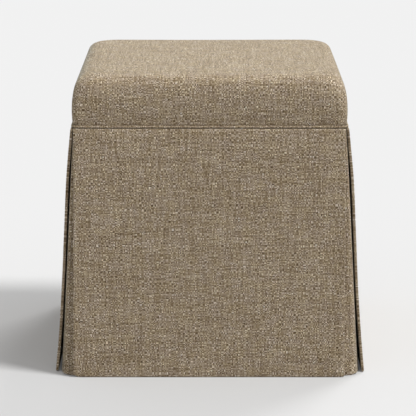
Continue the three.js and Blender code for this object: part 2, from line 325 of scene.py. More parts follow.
FOOT_BLACK = (30, 28, 27)
FOOT_WORN = (46, 43, 40)
FOOT_EDGE = 2 * MM


def black_plastic():
    """Moulded plastic: a grain of fine round bumps, and a slow noise that greys and dulls it."""
    material = bpy.data.materials.new("black_plastic")
    material.use_nodes = True
    n = Nodes(material.node_tree)
    shader = n.tree.nodes["Principled BSDF"]
    place = n.tree.nodes.new("ShaderNodeTexCoord").outputs["Object"]
    handled = n.add("ShaderNodeTexNoise", {"Vector": place, "Scale": 60.0, "Detail": 5.0})
    grain = n.add("ShaderNodeTexVoronoi", {"Vector": place, "Scale": 1400.0})
    colour = n.mixed(handled, screen_colour(*FOOT_BLACK), screen_colour(*FOOT_WORN))
    n.link(colour, shader.inputs["Base Color"])
    n.link(n.math("MULTIPLY_ADD", handled, 0.3, 0.4), shader.inputs["Roughness"])
    relief = n.add("ShaderNodeBump", {"Strength": 0.3, "Distance": 0.1 * MM, "Height": grain})
    n.link(relief, shader.inputs["Normal"])
    return material


feet_material = black_plastic()
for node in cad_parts:
    if node.startswith("foot_"):
        finish_part(node, feet_material, FOOT_EDGE)


# ------------------------------------------------------------------ linen-look cloth
# A plain weave of slubby two-tone yarns, tan and grey-brown, about thirteen to the inch. Each yarn
# changes colour along its length, so light and dark dashes run both ways through the cloth.

YARN_PITCH = 2.0 * MM
YARN_SWAY = 0.4  # how far a yarn wanders off its line, in yarns
YARN_FUZZ = 0.3  # how ragged its outline is, in yarns
SHORT_SLUB = 4  # crossings over which a pair of yarns keeps its light and its dark one
LONG_SLUB = 16  # crossings over which one yarn keeps its tone

MANY_STRETCHES = 91.7  # the yarns' stretches start this many apart at most
NOISE_REACH = 1 / 6  # how far a noise mostly strays to each side of its middle

HOLLOW_PAINTED_SHADE = 0.5  # painted shade: how much darker the colour is made in the hollows between yarns, where shade falls
FIBRE_STREAK = 0.5  # how strongly a yarn's fibres show
FIBRES_ACROSS = 9.0  # how much finer they are across the yarn than along it
PATCH_WARMTH = 2.5  # how strongly slow patches turn warmer or cooler

# How far each cause moves the tone of a crossing, from 0 for the darkest to 1 for the palest.
TONE_SHARES = {
    "lengthwise against crosswise": 0.42,
    "crosswise pairs": 0.2,
    "lengthwise pairs": 0.17,
    "slub": 0.21,
}


class WeaveNodes(Nodes):
    """The same, with what a weave needs."""

    def halved(self, count):
        """The number of the pair that a counted yarn belongs to."""
        return self.math("FLOOR", self.math("MULTIPLY", count, 0.5))

    def alternating(self, count):
        """-1 for an even whole number and 1 for an odd one."""
        return self.math("MULTIPLY_ADD", self.math("FLOORED_MODULO", count, 2.0), 2.0, -1.0)

    def random(self, x, y):
        """A number from -0.5 to 0.5, another one for every pair of whole numbers."""
        place = self.add("ShaderNodeCombineXYZ", {0: x, 1: y})
        value = self.add("ShaderNodeTexWhiteNoise", {"Vector": place}, noise_dimensions="2D")
        return self.math("SUBTRACT", value, 0.5)

    def stretches(self, yarn, place, length, seed):
        """A number from -0.5 to 0.5 that one yarn keeps over stretches of a length, each yarn's
        stretches starting at a place of its own."""
        start = self.math("MULTIPLY", self.random(yarn, seed), MANY_STRETCHES)
        stretch = self.math("FLOOR", self.math("ADD", self.math("DIVIDE", place, length), start))
        return self.random(stretch, self.math("ADD", yarn, seed + 0.5))


def weave_group():
    """Heathered plain weave. Position, a place on the flat cloth in metres, is divided by the yarn
    pitch, which gives the number of the lengthwise and of the crosswise yarn. Where their sum is odd
    the lengthwise yarn lies on top. The tone sums four random causes: lengthwise yarns paler or
    darker than crosswise ones, block by block; the two yarns of a pair unlike, crosswise and then
    lengthwise; and a slow change along the yarn on top. The height is a dome over each crossing, the
    cosine of the way across the yarn times a dip at its two ends. The Shade output is painted shade
    times fibre streaks: it darkens the colour most in the hollows between yarns, where shade falls, by
    the square of what the dome lacks, and streaks it along the yarn by its fibres."""
    tree = bpy.data.node_groups.new("heathered_linen_weave", "ShaderNodeTree")
    face = tree.interface
    face.new_socket("Position", in_out="INPUT", socket_type="NodeSocketVector")
    face.new_socket("Tone", in_out="OUTPUT", socket_type="NodeSocketFloat")
    face.new_socket("Warmth", in_out="OUTPUT", socket_type="NodeSocketFloat")
    # Shade carries painted shade in the hollows between yarns, times real streaks from the fibres
    face.new_socket("Shade", in_out="OUTPUT", socket_type="NodeSocketFloat")
    face.new_socket("Height", in_out="OUTPUT", socket_type="NodeSocketFloat")
    n = WeaveNodes(tree)
    position = n.tree.nodes.new("NodeGroupInput").outputs["Position"]

    drift = n.add("ShaderNodeTexNoise", {"Vector": position, "Scale": 40.0}, 1, noise_dimensions="2D")
    counted = n.add("ShaderNodeVectorMath", {0: position, 3: 1 / YARN_PITCH}, operation="SCALE")
    sway = (YARN_SWAY / NOISE_REACH, YARN_SWAY / NOISE_REACH, 0)
    swayed = n.add("ShaderNodeVectorMath", {0: drift, 1: sway, 2: counted}, operation="MULTIPLY_ADD")
    outline = n.add("ShaderNodeTexNoise", {"Vector": counted, "Scale": 2.5}, 1, noise_dimensions="2D")
    fuzz = (YARN_FUZZ, YARN_FUZZ, 0)
    ragged = n.add("ShaderNodeVectorMath", {0: outline, 1: fuzz, 2: swayed}, operation="MULTIPLY_ADD")
    split = n.tree.nodes.new("ShaderNodeSeparateXYZ")
    n.link(ragged, split.inputs[0])
    across, along = split.outputs[0], split.outputs[1]
    yarn_x, yarn_y = n.math("FLOOR", across), n.math("FLOOR", along)
    pair_x, pair_y = n.halved(yarn_x), n.halved(yarn_y)
    sign_x, sign_y = n.alternating(yarn_x), n.alternating(yarn_y)
    sign = n.math("MULTIPLY", sign_x, sign_y)
    lengthwise_on_top = n.math("FLOORED_MODULO", n.math("ADD", yarn_x, yarn_y), 2.0)

    block = n.math("MULTIPLY", sign, n.random(pair_x, pair_y))
    crosswise_pairs = n.math("MULTIPLY", sign_y, n.stretches(pair_y, across, SHORT_SLUB, 211))
    lengthwise_pairs = n.math("MULTIPLY", sign_x, n.stretches(pair_x, along, SHORT_SLUB, 503))
    slub = n.add(
        "ShaderNodeMix",
        {
            0: lengthwise_on_top,
            2: n.stretches(yarn_y, across, LONG_SLUB, 307),
            3: n.stretches(yarn_x, along, LONG_SLUB, 701),
        },
    )
    tone = 0.5
    for cause, share in zip((block, crosswise_pairs, lengthwise_pairs, slub), TONE_SHARES.values()):
        tone = n.math("MULTIPLY_ADD", cause, share, tone)

    over_yarn = n.add("ShaderNodeMix", {0: lengthwise_on_top, 2: along, 3: across})
    down_yarn = n.add("ShaderNodeMix", {0: lengthwise_on_top, 2: across, 3: along})

    def arch(place):
        """1 in the middle of each crossing and 0 at its two sides."""
        off_middle = n.math("SUBTRACT", n.math("FRACT", place), 0.5)
        return n.math("COSINE", n.math("MULTIPLY", off_middle, math.pi))

    height = n.math("MULTIPLY", arch(over_yarn), n.math("MULTIPLY_ADD", arch(down_yarn), 0.5, 0.5))
    # painted shade: the hollows between yarns, where shade falls, darken the colour by this mask
    hollow = n.math("POWER", n.math("SUBTRACT", 1.0, height), 2.0)
    finer = n.math("MULTIPLY", over_yarn, FIBRES_ACROSS)
    strand = n.add("ShaderNodeCombineXYZ", {0: finer, 1: down_yarn})
    frayed = {"Vector": strand, "Scale": 1.3, "Detail": 1.0}
    fibres = n.add("ShaderNodeTexNoise", frayed, noise_dimensions="2D")
    streaked = n.math("MULTIPLY_ADD", n.math("SUBTRACT", fibres, 0.5), FIBRE_STREAK, 1.0)
    shade = n.math("MULTIPLY", streaked, n.math("MULTIPLY_ADD", hollow, -HOLLOW_PAINTED_SHADE, 1.0))
    patch = n.add("ShaderNodeTexNoise", {"Vector": position, "Scale": 55.0}, noise_dimensions="2D")
    slow = n.math("SUBTRACT", patch, 0.5)
    warmth = n.math("MULTIPLY_ADD", slow, PATCH_WARMTH, n.random(yarn_y, yarn_x))

    result = n.tree.nodes.new("NodeGroupOutput")
    n.link(tone, result.inputs["Tone"])
    n.link(n.math("ADD", warmth, 0.5), result.inputs["Warmth"])
    n.link(shade, result.inputs["Shade"])
    n.link(height, result.inputs["Height"])
    return tree


heathered_weave = weave_group()

LINEN = (162, 144, 119)
TONE_SPREAD = (114, 119, 122)  # screen levels between the middle tone and the palest or the darkest
TONE_STEPS = 7
COOL = (0.985, 0.99, 1.06, 1)
WARM = (1.015, 1.005, 0.94, 1)


def linen(name, offset=(0.0, 0.0), turn_deg=0.0):
    """Cloth material: the weave on the piece's own flat pattern, slid and turned by its mapping."""
    material = bpy.data.materials.new(name)
    material.use_nodes = True
    n = Nodes(material.node_tree)
    shader = n.tree.nodes["Principled BSDF"]
    pattern = n.add("ShaderNodeUVMap", uv_map="flat_cloth")
    placed = n.add(
        "ShaderNodeMapping",
        {"Vector": pattern, "Location": (*offset, 0), "Rotation": (0, 0, math.radians(turn_deg))},
    )
    weave = n.tree.nodes.new("ShaderNodeGroup")
    weave.node_tree = heathered_weave
    n.link(placed, weave.inputs["Position"])

    ramp = n.tree.nodes.new("ShaderNodeValToRGB")
    for tone in np.linspace(0, 1, TONE_STEPS)[1:-1]:
        ramp.color_ramp.elements.new(tone)
    for element in ramp.color_ramp.elements:
        off_middle = 2 * element.position - 1
        element.color = screen_colour(*(np.array(LINEN) + np.array(TONE_SPREAD) * off_middle))
    n.link(weave.outputs["Tone"], ramp.inputs[0])
    tint = n.mixed(weave.outputs["Warmth"], COOL, WARM)
    # the tone's colour darkened by the weave's painted shade in the hollows between yarns, and streaked
    # by its fibres
    shaded = n.add(
        "ShaderNodeVectorMath", {0: ramp.outputs[0], 3: weave.outputs["Shade"]}, operation="SCALE"
    )
    colour = n.add(
        "ShaderNodeMix",
        {0: 1.0, 6: shaded, 7: tint},
        output=2,
        data_type="RGBA",
        blend_type="MULTIPLY",
    )
    n.link(colour, shader.inputs["Base Color"])
    relief = n.tree.nodes.new("ShaderNodeBump")
    relief.inputs["Strength"].default_value = 0.5
    relief.inputs["Distance"].default_value = 0.35 * MM
    n.link(weave.outputs["Height"], relief.inputs["Height"])
    n.link(relief.outputs[0], shader.inputs["Normal"])
    shader.inputs["Roughness"].default_value = 0.95
    shader.inputs["Specular IOR Level"].default_value = 0.15
    shader.inputs["Sheen Weight"].default_value = 0.1
    shader.inputs["Sheen Roughness"].default_value = 0.45
    shader.inputs["Sheen Tint"].default_value = (0.7, 1, 1, 1)
    return material


# ------------------------------------------------------------------ skirt panels
# Four flat panels of cloth over an interlining, about 4.4 mm thick with their edges turned in. Each
# hangs from the box's rim, rolls over a soft shoulder and stands away from the box down to the hem.

# Each panel: which way it faces, where its pattern starts on the cloth, how far its hem reaches to
# the left and right of the middle, and how wide its two bottom corners are rounded, in millimetres.
PANELS = [
    {
        "name": "front", "facing_deg": 0, "offset": (0.0, 0.0),
        "left": 229, "right": 225, "left_round": 13, "right_round": 4,
    },
    {
        "name": "right", "facing_deg": 90, "offset": (1.7, 0.4),
        "left": 231, "right": 226, "left_round": 4, "right_round": 7,
    },
    {
        "name": "back", "facing_deg": 180, "offset": (3.1, 0.9),
        "left": 226, "right": 227, "left_round": 8, "right_round": 5,
    },
    {
        "name": "left", "facing_deg": 270, "offset": (4.9, 1.3),
        "left": 226, "right": 227, "left_round": 6, "right_round": 4,
    },
]
TOP_HALF = 224.6 * MM  # half of a panel's width at its top edge
CORNER_FLATNESS = 0.5  # height of a rounded bottom corner as a share of its width
PANEL_HALF_THICKNESS = 2.2 * MM
SIDE_ROUND = 0.6 * MM  # how far in from its pressed side edges a panel has its full thickness
HEM_ROUND = 2.0 * MM  # and how far in from its turned top and bottom edges
HEM_SAG = 0.35 * MM  # how far the hem hangs below the solid's
PANEL_STEP = 5 * MM  # between the lines of the mesh
PANEL_WAVE = 0.4 * MM  # how high its waves are at the hem
WAVE_DRAW = 0.6  # below 1, a panel's waves are longer down it than across it

RIM_MARGIN = 0.6 * MM  # left bare at the rim's inner edge
FLANGE_HALF_THICKNESS = 0.9 * MM
FLANGE_STEP_ALONG = 10 * MM
FLANGE_STEP_ACROSS = 4 * MM

# How far each panel stands out from its top edge, by the distance below that edge, in millimetres.
HANG = [
    {"drop": 0, "front": 0, "right": 0, "back": 0, "left": 0},
    {"drop": 6, "front": 1.5, "right": 1.0, "back": 1.3, "left": 0.9},
    {"drop": 15, "front": 2.5, "right": 2.0, "back": 2.2, "left": 1.8},
    {"drop": 35, "front": 4.5, "right": 4.1, "back": 4.4, "left": 3.9},
    {"drop": 75, "front": 7.7, "right": 8.2, "back": 7.9, "left": 7.6},
    {"drop": 170, "front": 13.6, "right": 13.6, "back": 13.5, "left": 13.1},
    {"drop": 280, "front": 20.4, "right": 19.5, "back": 20.6, "left": 19.3},
    {"drop": 345, "front": 25.2, "right": 24.5, "back": 25.3, "left": 23.8},
    {"drop": 420, "front": 31.8, "right": 31.6, "back": 31.7, "left": 31.0},
]


def hang_out(name, drop):
    """How far a panel stands out at a drop, in metres: a smooth curve through the rows of HANG. Each
    stretch is a cubic whose slope at its ends is a mean of the slopes of the two stretches that meet
    there, in which the shorter one counts more."""
    places = np.array([row["drop"] for row in HANG]) * MM
    outs = np.array([row[name] for row in HANG]) * MM
    slopes = np.gradient(outs, places)
    at = np.clip(np.searchsorted(places, drop, side="right") - 1, 0, len(places) - 2)
    width = places[at + 1] - places[at]
    t = (drop - places[at]) / width
    return (
        outs[at] * (2 * t**3 - 3 * t**2 + 1)
        + slopes[at] * width * (t**3 - 2 * t**2 + t)
        + outs[at + 1] * (3 * t**2 - 2 * t**3)
        + slopes[at + 1] * width * (t**3 - t**2)
    )


def edged(low, high, step, edge):
    """Places from low to high about `step` apart, crowded towards both ends on a quarter circle of
    radius `edge`, so that a sheet's thickness can close there in a round edge."""
    inset = edge * (1 - np.cos(np.radians([0, 25, 50, 70, 90])))
    count = max(2, int(round((high - low - 2 * edge) / step)))
    middle = np.linspace(low + edge, high - edge, count + 1)[1:-1]
    return np.concatenate([low + inset, middle, high - inset[::-1]])


def round_edge(places, edge):
    """Share of the full thickness at each place: 1 inside, falling to 0 at both ends on a quarter
    circle of radius `edge`."""
    inset = np.minimum(places - places[0], places[-1] - places)
    return np.sqrt(np.clip(1 - (1 - np.clip(inset / edge, 0, 1)) ** 2, 0, 1))


def wrapped(places, share, half_thickness):
    """How much more cloth than the way from the middle lies up to each place, where a sheet's cover
    goes round its edges: the length along its section, less the straight distance."""
    run = np.concatenate([[0], np.cumsum(np.hypot(np.diff(places), np.diff(share * half_thickness)))])
    middle = (places[0] + places[-1]) / 2
    return run - run[-1] / 2 - (places - middle)


def soft_waves(x, y, seed, scale=1.0):
    """A gentle uneven surface about 1 high: five sines in fixed, seeded directions, summed."""
    draw = np.random.default_rng(seed)
    total = np.zeros(np.broadcast(x, y).shape)
    for _ in range(5):
        angle, phase = draw.uniform(0, math.tau, 2)
        count = draw.uniform(8, 26) * scale  # radians to the metre
        total += np.sin(count * (x * math.cos(angle) + y * math.sin(angle)) + phase)
    return total / 3


def make_piece(name, vertices, faces, flat_cloth, material):
    """A smooth mesh object from arrays: vertices (n, 3), quads (m, 4) and, for each corner of each
    quad, its place on the flat cloth (m, 4, 2). Vertices that no quad uses are dropped."""
    used, faces = np.unique(faces, return_inverse=True)
    faces = faces.reshape(-1, 4)
    mesh = bpy.data.meshes.new(name)
    mesh.from_pydata(vertices[used].tolist(), [], faces.tolist())
    layer = mesh.uv_layers.new(name="flat_cloth")
    layer.data.foreach_set("uv", flat_cloth.astype(np.float32).ravel())
    mesh.polygons.foreach_set("use_smooth", np.ones(len(faces), dtype=bool))
    mesh.materials.append(material)
    piece = bpy.data.objects.new(name, mesh)
    scene.collection.objects.link(piece)
    return piece


def grid_quads(index):
    """Quads of a grid of vertex numbers, turning from the first towards the second direction."""
    corners = [index[:-1, :-1], index[1:, :-1], index[1:, 1:], index[:-1, 1:]]
    return np.stack(corners, axis=-1).reshape(-1, 4)


def surface_normals(points):
    """Unit normals of a grid of points: across the first direction times along the second."""
    normal = np.cross(np.gradient(points, axis=0), np.gradient(points, axis=1))
    return normal / np.linalg.norm(normal, axis=-1, keepdims=True)


def cloth_solid(middle, half_thickness, flat):
    """Vertices, quads and flat places of a closed sheet: the middle surface moved out and in along
    its normal by half the thickness, which is 0 round the rim, where the two faces meet."""
    normal = surface_normals(middle)
    outer = middle + normal * half_thickness[..., None]
    inner = middle - normal * half_thickness[..., None]
    index = np.arange(middle.shape[0] * middle.shape[1]).reshape(middle.shape[:2])
    back = index + index.size
    rim = np.ones(index.shape, dtype=bool)
    rim[1:-1, 1:-1] = False
    back[rim] = index[rim]
    quads = np.concatenate([grid_quads(index), grid_quads(back)[:, ::-1]])
    places = np.concatenate([flat.reshape(-1, 2)] * 2)
    return np.concatenate([outer.reshape(-1, 3), inner.reshape(-1, 3)]), quads, places[quads]


def turned(points, degrees):
    """Points turned anticlockwise about the upright axis through the middle of the box."""
    c, s = math.cos(math.radians(degrees)), math.sin(math.radians(degrees))
    return points @ np.array([[c, s, 0], [-s, c, 0], [0, 0, 1]])


def joined_solids(solids):
    """Several (vertices, quads, places) as one."""
    counts = np.cumsum([0] + [len(vertices) for vertices, _, _ in solids[:-1]])
    vertices = np.concatenate([solid[0] for solid in solids])
    quads = np.concatenate([solid[1] + count for solid, count in zip(solids, counts)])
    return vertices, quads, np.concatenate([solid[2] for solid in solids])


front_low, front_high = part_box("skirt_front")
panel_top = front_high[2]
panel_hem = front_low[2] - HEM_SAG
panel_outer_top = -front_low[1] - hang_out("front", panel_top - panel_hem)
wall_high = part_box("box_front")[1]
box_half, wall_inner = wall_high[0], -wall_high[1]
rim_inner = wall_inner + RIM_MARGIN


def hanging_part(panel, seed):
    """The hanging part of a panel, facing front. Its middle surface runs across the width and down
    from the turned top edge, and widens evenly to the hem. The bottom edge rises at both corners on
    a quarter ellipse, and the panel waves very slightly, more so towards the hem."""
    length = panel_top - panel_hem
    across = edged(-TOP_HALF, TOP_HALF, PANEL_STEP, SIDE_ROUND)
    down = edged(0, length, PANEL_STEP, HEM_ROUND)
    share_across, share_down = round_edge(across, SIDE_ROUND), round_edge(down, HEM_ROUND)
    more_across = wrapped(across, share_across, PANEL_HALF_THICKNESS)[:, None]
    more_down = wrapped(down, share_down, PANEL_HALF_THICKNESS)[None, :]
    x, drop = np.meshgrid(across, down, indexing="ij")
    corner = np.where(x < 0, panel["left_round"], panel["right_round"]) * MM
    past_corner = np.clip(np.abs(x) - (TOP_HALF - corner), 0, corner) / corner
    rise = CORNER_FLATNESS * corner * (1 - np.sqrt(1 - past_corner**2))
    drop = drop * (1 - rise / length)
    hem_half = np.where(x < 0, panel["left"], panel["right"]) * MM
    x = x * (1 + (hem_half / TOP_HALF - 1) * drop / length)
    ripple = soft_waves(x, drop * WAVE_DRAW, seed) * PANEL_WAVE * (drop / length)
    out = panel_outer_top - PANEL_HALF_THICKNESS + hang_out(panel["name"], drop) + ripple
    middle = np.stack([x, -out, panel_top - drop], axis=-1)
    half_thickness = share_across[:, None] * share_down[None, :] * PANEL_HALF_THICKNESS
    return cloth_solid(middle, half_thickness, np.stack([x + more_across, -drop - more_down], axis=-1))


def rim_flange(half_width):
    """The allowance turned over the box's rim: a thin flat strip from inside the hanging part to the
    inner edge of the rim."""
    edge = FLANGE_HALF_THICKNESS
    across = edged(-half_width, half_width, FLANGE_STEP_ALONG, edge)
    inward = edged(PANEL_HALF_THICKNESS - panel_outer_top, -rim_inner, FLANGE_STEP_ACROSS, edge)
    half_thickness = edge * round_edge(across, edge)[:, None] * round_edge(inward, edge)[None, :]
    x, y = np.meshgrid(across, inward, indexing="ij")
    middle = np.stack([x, y, np.full_like(x, panel_top - edge)], axis=-1)
    return cloth_solid(middle, half_thickness, np.stack([x, y], axis=-1))


for number, panel in enumerate(PANELS):
    node = f"skirt_{panel['name']}"
    flange_half = box_half if panel["name"] in ("front", "back") else wall_inner
    parts = [hanging_part(panel, seed=20 + number), rim_flange(flange_half)]
    vertices, quads, flat = joined_solids(parts)
    vertices = turned(vertices, panel["facing_deg"])
    skirt = make_piece(f"cloth_{node}", vertices, quads, flat, linen(node, panel["offset"]))
    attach(skirt, "base")
    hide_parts(node)


# ------------------------------------------------------------------ corner inserts
# A strip of the same cloth folded to an L behind each open corner, so that the gap between two
# panels shows cloth. It flares less than the panels, and its fold is pressed sharp.

# Each corner: where it is, where its pattern starts on the cloth, how far its legs stand out at the
# top, how far each of them does at the hem, going anticlockwise round the box, how far they belly out
# between, and the radius of the fold at the hem, in millimetres.
CORNERS = [
    {
        "name": "front_right", "turn_deg": 0, "offset": (6.1, 0.2),
        "top_half": 225.3, "first_hem": 249.6, "second_hem": 247.4, "belly": 1.1, "hem_fold": 13,
    },
    {
        "name": "back_right", "turn_deg": 90, "offset": (7.3, 0.6),
        "top_half": 225.2, "first_hem": 247.2, "second_hem": 248.0, "belly": 1.0, "hem_fold": 10,
    },
    {
        "name": "back_left", "turn_deg": 180, "offset": (8.2, 1.1),
        "top_half": 225.2, "first_hem": 248.0, "second_hem": 246.9, "belly": 0.8, "hem_fold": 8,
    },
    {
        "name": "front_left", "turn_deg": 270, "offset": (9.4, 1.6),
        "top_half": 225.3, "first_hem": 246.6, "second_hem": 249.4, "belly": 0.9, "hem_fold": 10,
    },
]
INSERT_HALF_THICKNESS = 1.1 * MM
TOP_FOLD = 3.0 * MM  # radius of the fold at the top
INSERT_LEG = 65 * MM
HEM_LIFT = 1.4 * MM  # how far the hem rises at the fold
LIFT_REACH = 8 * MM  # how far to each side of the fold it does
SPLAY = 5.5 * MM  # how far the legs spread at the hem, away from the fold
SPLAY_LENGTH = 12 * MM  # over which most of the spread comes
INSERT_WAVE = 0.3 * MM  # how high its waves are at the hem
LEG_STEP = 4 * MM  # between the lines of the mesh along the legs, down them and round the fold
FALL_STEP = 6 * MM
FOLD_STEP = 1 * MM
FOLD_REACH = 12 * MM  # how far to each side of the fold the mesh is fine

insert_low, insert_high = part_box("corner_insert_front_right")


def folded_strip(corner, seed):
    """The insert of the front right corner. Its middle surface runs along the front leg, round the
    fold on a quarter circle, softer towards the hem, and back along the side leg. Each leg moves out
    from top to bottom, by an even flare and a slight cubic belly that is fullest a third of the way
    down, and spreads away from the fold by an exponential, more so towards the hem. The hem rises
    towards the fold by a square law."""
    length = insert_high[2] - insert_low[2]
    along = edged(-INSERT_LEG, INSERT_LEG, LEG_STEP, INSERT_HALF_THICKNESS)
    fine = np.linspace(-FOLD_REACH, FOLD_REACH, round(2 * FOLD_REACH / FOLD_STEP) + 1)
    along = np.unique(np.concatenate([along, fine]))
    down = edged(0, length, FALL_STEP, INSERT_HALF_THICKNESS)
    share_along, share_down = (round_edge(places, INSERT_HALF_THICKNESS) for places in (along, down))
    more_along = wrapped(along, share_along, INSERT_HALF_THICKNESS)[:, None]
    more_down = wrapped(down, share_down, INSERT_HALF_THICKNESS)[None, :]
    s, drop = np.meshgrid(along, down, indexing="ij")
    drop = drop * (1 - HEM_LIFT / length * np.clip(1 - np.abs(s) / LIFT_REACH, 0, 1) ** 2)
    fall = drop / length
    fullness = 27 / 4 * fall * (1 - fall) ** 2  # 1 a third of the way down
    top, belly = corner["top_half"], corner["belly"] * fullness
    first_half, second_half = (
        (top + (hem - top) * fall + belly) * MM - INSERT_HALF_THICKNESS
        for hem in (corner["first_hem"], corner["second_hem"])
    )
    fold = TOP_FOLD + (corner["hem_fold"] * MM - TOP_FOLD) * fall**2
    angle = np.clip(s / fold, -math.pi / 4, math.pi / 4) - math.pi / 4
    past = np.sign(s) * np.maximum(np.abs(s) - fold * math.pi / 4, 0)
    spread = SPLAY * fall**2 * (1 - np.exp(-np.abs(past) / SPLAY_LENGTH))
    x = second_half - fold + fold * np.cos(angle) + np.where(past < 0, past, spread)
    y = -first_half + fold + fold * np.sin(angle) + np.where(past < 0, -spread, past)
    ripple = soft_waves(s, drop, seed, scale=1.5) * INSERT_WAVE * fall
    x = x + ripple * np.cos(angle)
    y = y + ripple * np.sin(angle)
    middle = np.stack([x, y, insert_high[2] - drop], axis=-1)
    half_thickness = share_along[:, None] * share_down[None, :] * INSERT_HALF_THICKNESS
    return cloth_solid(middle, half_thickness, np.stack([s + more_along, -drop - more_down], axis=-1))


for number, corner in enumerate(CORNERS):
    node = f"corner_insert_{corner['name']}"
    vertices, quads, flat = folded_strip(corner, seed=40 + number)
    vertices = turned(vertices, corner["turn_deg"])
    strip = make_piece(f"cloth_{node}", vertices, quads, flat, linen(node, corner["offset"]))
    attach(strip, "base")
    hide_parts(node)


# ------------------------------------------------------------------ lid board
# The lid's plywood base, its edge hidden by the cushion's foot and the welt. Its underside shows when
# the lid is up.

finish_part("lid_board", plywood("lid_board", LEVEL, (5.9, 4.2)), ARRIS)


# ------------------------------------------------------------------ lid cushion
# A block of foam under one stretched piece of cloth, pulled over the lid's board and stapled below.
# The sides lean in towards a soft upper edge and tuck in at the foot, and the top has a low crown.

WIDEST_HALF = 226.8 * MM
TUCK = 0.9 * MM  # side drawn in at the foot
TUCK_ANGLE = math.radians(7)
EDGE_RADIUS = 27 * MM
EDGE_HALF = 223.9 * MM  # outermost reach of the soft edge's circle
LEAN_ANGLE = math.radians(17)  # slope of the side where it meets the soft edge
CROWN = 5.3 * MM
FOOT_DROP = 1.1 * MM  # the foam presses the foot down on to the welt
FOOT_CORNER = 12 * MM
TOP_CORNER = 33 * MM
TANGENT = 18 * MM  # how far the side keeps its slope at the foot and below the soft edge
BOARD_GAP = 0.4 * MM  # between the board's edge and the cloth that lies under the cushion
FLAT_TOP = 170 * MM  # from the middle, up to where the weave starts to follow the sides
FLAT_TOP_FADE = 50 * MM

COVER_UNEVEN = 0.25 * MM
UNEVEN_ABOVE = 20 * MM  # above the foot, up to where the cover is fully uneven
# The pinch beside each corner: how deep it is, how far its middle is from the side and above the foot,
# and how wide and how high it is.
PINCH = {"depth": 1.2 * MM, "beside": 6 * MM, "above": 2 * MM, "width": 3 * MM, "height": 2.5 * MM}

cushion_low, cushion_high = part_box("lid_cushion")
board_low, board_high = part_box("lid_board")
lid_top, lid_foot = cushion_high[2], cushion_low[2] - FOOT_DROP
edge_top = lid_top - CROWN


def bezier(points, count):
    """Points on a Bezier curve, evenly spaced in its parameter, by repeated mixing of neighbours."""
    t = np.linspace(0, 1, count)[:, None]
    levels = [np.array(point) * np.ones((count, 1)) for point in points]
    while len(levels) > 1:
        levels = [near * (1 - t) + far * t for near, far in zip(levels, levels[1:])]
    return levels[0]


def cushion_profile():
    """(half-width, height) from under the cushion, up the side as a Bezier curve, round the soft
    edge as an arc, and in over the crown as a second Bezier curve to the middle."""
    arc_centre = np.array([EDGE_HALF - EDGE_RADIUS, edge_top - EDGE_RADIUS])
    crown_angle = math.atan(2 * CROWN / arc_centre[0])
    out = np.array([math.cos(LEAN_ANGLE), math.sin(LEAN_ANGLE)])
    up = np.array([-out[1], out[0]])
    arc_start = arc_centre + EDGE_RADIUS * out
    foot = np.array([WIDEST_HALF - TUCK, lid_foot])
    foot_up = np.array([math.sin(TUCK_ANGLE), math.cos(TUCK_ANGLE)])
    under = np.linspace([board_high[0] + BOARD_GAP, lid_foot], foot, 4)
    side = bezier([foot, foot + TANGENT * foot_up, arc_start - TANGENT * up, arc_start], 24)
    turn = np.linspace(LEAN_ANGLE, math.pi / 2 - crown_angle, 18)[:, None]
    edge = arc_centre + EDGE_RADIUS * np.hstack([np.cos(turn), np.sin(turn)])
    crown = bezier([edge[-1], [arc_centre[0] / 2, lid_top], [0, lid_top]], 46)
    return np.concatenate([under[:-1], side[:-1], edge[:-1], crown])


def square_side(half, corner, straight_steps, arc_steps):
    """x, y and the distance along the side, for the side that faces -Y of squares with the given
    half-widths and corner radii, a row for each square, from the middle of one corner arc to the
    middle of the next."""
    half, corner = half[:, None], corner[:, None]
    straight = half - corner
    arc = np.linspace(0, math.pi / 4, arc_steps + 1)[None, 1:]
    flat = np.linspace(0, 1, straight_steps + 1)[None, :]
    x = np.hstack([straight * flat, straight + corner * np.sin(arc)])
    y = np.hstack([-half + 0 * flat, -straight - corner * np.cos(arc)])
    along = np.hstack([straight * flat, straight + corner * arc])
    x, along = (np.hstack([-half_row[:, :0:-1], half_row]) for half_row in (x, along))
    return x, np.hstack([y[:, :0:-1], y]), along


def four_sides(points, flat):
    """A closed ring of four like sides from one: vertices, quads and flat places, each side turned a
    quarter further. The flat places turn with it, so that the pattern runs on over the top."""
    rows, columns = points.shape[:2]
    index = np.arange(rows * columns).reshape(rows, columns)
    level = np.concatenate([flat, np.zeros((rows, columns, 1))], axis=-1).reshape(-1, 3)
    sides = [
        (
            turned(points.reshape(-1, 3), 90 * number),
            grid_quads(index)[:, ::-1],
            turned(level, 90 * number)[:, :2][grid_quads(index)[:, ::-1]],
        )
        for number in range(4)
    ]
    return joined_solids(sides)


def weld(piece, distance=0.01 * MM):
    """Joins vertices that lie in one place, drops the slivers that this leaves and closes an open
    rim with a face."""
    shape = bmesh.new()
    shape.from_mesh(piece.data)
    bmesh.ops.remove_doubles(shape, verts=shape.verts, dist=distance)
    bmesh.ops.dissolve_degenerate(shape, edges=shape.edges, dist=distance)
    bmesh.ops.holes_fill(shape, edges=[edge for edge in shape.edges if edge.is_boundary], sides=0)
    shape.to_mesh(piece.data)
    shape.free()


def push_out(piece, distance):
    """Moves each vertex along its normal by a distance worked out from the vertices' places."""
    count = len(piece.data.vertices)
    places, normals = np.empty(count * 3), np.empty(count * 3)
    piece.data.vertices.foreach_get("co", places)
    piece.data.vertices.foreach_get("normal", normals)
    places, normals = places.reshape(-1, 3), normals.reshape(-1, 3)
    moved = places + normals * distance(places)[:, None]
    piece.data.vertices.foreach_set("co", moved.ravel())
    piece.data.update()


